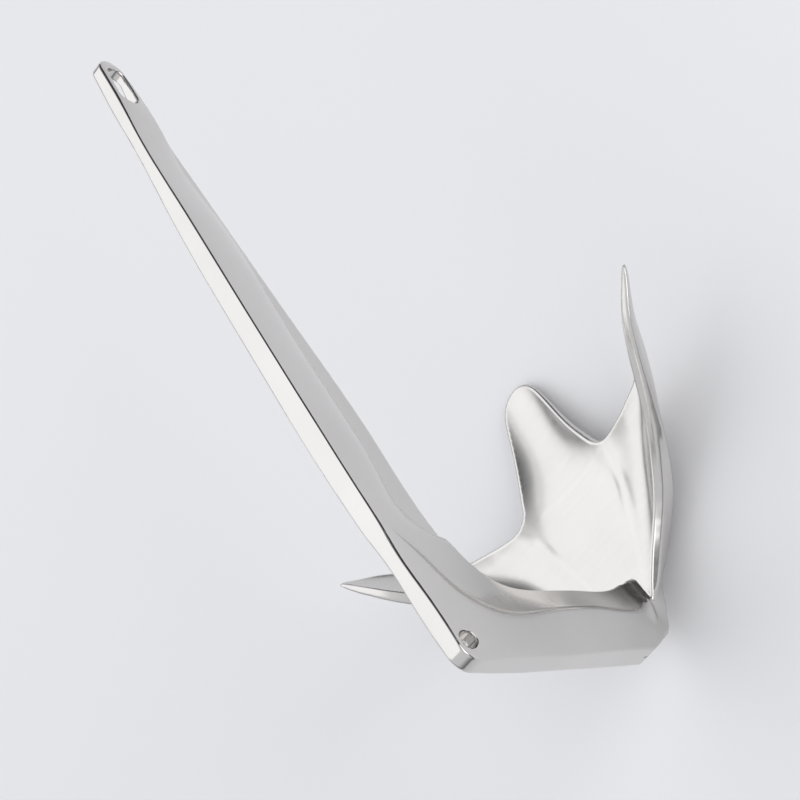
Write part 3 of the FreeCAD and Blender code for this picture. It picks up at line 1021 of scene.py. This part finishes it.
def polished_steel(name, streak, roughness):
    """Steel with faint clouds in its tint, and a roughness that varies along polishing lines."""
    material = bpy.data.materials.new(name)
    material.use_nodes = True
    tree = material.node_tree
    nodes, link = tree.nodes, tree.links.new
    shader = nodes["Principled BSDF"]
    shader.inputs["Metallic"].default_value = 1.0
    place = nodes.new("ShaderNodeTexCoord").outputs["Object"]
    colour = nodes.new("ShaderNodeValToRGB")
    stops = ((NOISE_LOW, CLOUD_TINT), (NOISE_HIGH, STEEL_TINT))
    for element, (position, tint) in zip(colour.color_ramp.elements, stops):
        element.position = position
        element.color = (*tint, 1)
    link(noise(tree, place, CLOUD_SCALE, CLOUD_DETAIL), colour.inputs["Fac"])
    link(colour.outputs["Color"], shader.inputs["Base Color"])
    stretch = nodes.new("ShaderNodeMapping")
    stretch.inputs["Scale"].default_value = streak
    link(place, stretch.inputs["Vector"])
    lines = noise(tree, stretch.outputs["Vector"], STREAK_SCALE, STREAK_DETAIL)
    rough = ramped(tree, lines, NOISE_LOW, NOISE_HIGH, roughness, ROUGHNESS_SPREAD * roughness)
    link(rough.outputs["Result"], shader.inputs["Roughness"])
    return material


# slot: the stretch of the polishing lines along each axis, and the least roughness
FINISHES = {
    "polished_bar": ((0.3, 4.0, 4.0), 0.09),
    "polished_plate": ((4.0, 0.3, 4.0), 0.2),
    "dressed_weld": ((2.0, 2.0, 2.0), 0.16),
}
STEEL = {slot: polished_steel(slot + "_steel", *finish) for slot, finish in FINISHES.items()}

vertices, quads = anchor_surface()
for name, (nodes, slot, planes) in PIECES.items():
    mesh = cut_piece(name, vertices, quads, planes)
    finish_normals(mesh)
    piece = bpy.data.objects.new("steel_" + name, mesh)
    bpy.context.scene.collection.objects.link(piece)
    mesh.materials.append(STEEL[slot])
    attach(piece, "root")
    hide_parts(*nodes)

# ------------------------------------------------------------------ floor, light, camera


FLOOR_REACH = 6.0
FLOOR_COLOUR = (0.92, 0.92, 0.94, 1)
FLOOR_ROUGHNESS = 0.7


def pale_floor():
    mesh = bpy.data.meshes.new("floor")
    corners = [(-1, -1), (1, -1), (1, 1), (-1, 1)]
    mesh.from_pydata([(FLOOR_REACH * x, FLOOR_REACH * y, CAD_LOW.z) for x, y in corners],
                     [], [(0, 1, 2, 3)])
    floor = bpy.data.objects.new("floor", mesh)
    bpy.context.scene.collection.objects.link(floor)
    material = bpy.data.materials.new("pale_floor")
    material.use_nodes = True
    shader = material.node_tree.nodes["Principled BSDF"]
    shader.inputs["Base Color"].default_value = FLOOR_COLOUR
    shader.inputs["Roughness"].default_value = FLOOR_ROUGHNESS
    mesh.materials.append(material)


def softbox(name, place, aim, size, power):
    light = bpy.data.lights.new(name, "AREA")
    light.shape = "RECTANGLE"
    light.size, light.size_y = size
    light.energy = power
    lamp = bpy.data.objects.new(name, light)
    lamp.location = place
    lamp.rotation_mode = "QUATERNION"
    lamp.rotation_quaternion = (Vector(aim) - Vector(place)).to_track_quat("-Z", "Y")
    bpy.context.scene.collection.objects.link(lamp)


KEY_SIDE = (0.5, 0.45, 0.74)
DARK_SIDE = (0.45, -0.85, 0.25)
HORIZON = 0.2
CEILING = 0.78
GLOW = 0.08
SHADE = 0.08
WORLD_TINT = (0.97, 0.98, 1.0, 1)


def studio_world():
    """A dim horizon, a pale ceiling, a faint glow on the key light's side and a dark side."""
    world = bpy.data.worlds.new("studio")
    bpy.context.scene.world = world
    world.use_nodes = True
    tree = world.node_tree
    link = tree.links.new
    direction = tree.nodes.new("ShaderNodeTexCoord").outputs["Generated"]

    def towards(aim, start, end, low, high):
        """A value that goes from low to high as the direction turns towards aim."""
        dot = tree.nodes.new("ShaderNodeVectorMath")
        dot.operation = "DOT_PRODUCT"
        link(direction, dot.inputs[0])
        dot.inputs[1].default_value = Vector(aim).normalized()
        ramp = ramped(tree, dot.outputs["Value"], start, end, low, high)
        ramp.interpolation_type = "SMOOTHSTEP"
        return ramp.outputs["Result"]

    def combined(operation, a, b):
        node = tree.nodes.new("ShaderNodeMath")
        node.operation = operation
        link(a, node.inputs[0])
        link(b, node.inputs[1])
        return node.outputs["Value"]

    ceiling = towards((0, 0, 1), 0.0, 0.55, HORIZON, CEILING)
    glow = towards(KEY_SIDE, 0.35, 0.98, 0.0, GLOW)
    shade = towards(DARK_SIDE, 0.45, 0.9, 1.0, SHADE)
    background = tree.nodes["Background"]
    background.inputs["Color"].default_value = WORLD_TINT
    strength = combined("MULTIPLY", combined("ADD", ceiling, glow), shade)
    link(strength, background.inputs["Strength"])


CAMERA_PLACE = Vector((-0.7592, -0.8765, 1.3481))
CAMERA_RIGHT = Vector((-0.46223, -0.58300, -0.66817))
CAMERA_UP = Vector((0.73017, -0.67780, 0.08627))
SENSOR_WIDTH = 36.0
LENS = 126.0
NEAREST, FARTHEST = 0.05, 40.0


def photo_camera():
    data = bpy.data.cameras.new("camera")
    camera = bpy.data.objects.new("camera", data)
    bpy.context.scene.collection.objects.link(camera)
    bpy.context.scene.camera = camera
    data.sensor_width = SENSOR_WIDTH
    data.lens = LENS
    data.clip_start, data.clip_end = NEAREST, FARTHEST
    axes = Matrix((CAMERA_RIGHT, CAMERA_UP, CAMERA_RIGHT.cross(CAMERA_UP)))
    camera.matrix_world = Matrix.Translation(CAMERA_PLACE) @ axes.transposed().to_4x4()


pale_floor()
softbox("key_softbox", place=(1.0, 0.75, 1.05), aim=(0.15, 0, -0.2), size=(2.2, 2.2), power=7.5)
softbox("fill_softbox", place=(-0.2, -1.5, 0.7), aim=(0.1, -0.35, -0.25), size=(1.4, 0.9), power=8)
studio_world()
photo_camera()

bpy.context.scene.view_settings.view_transform = "Standard"

bpy.context.view_layer.update()
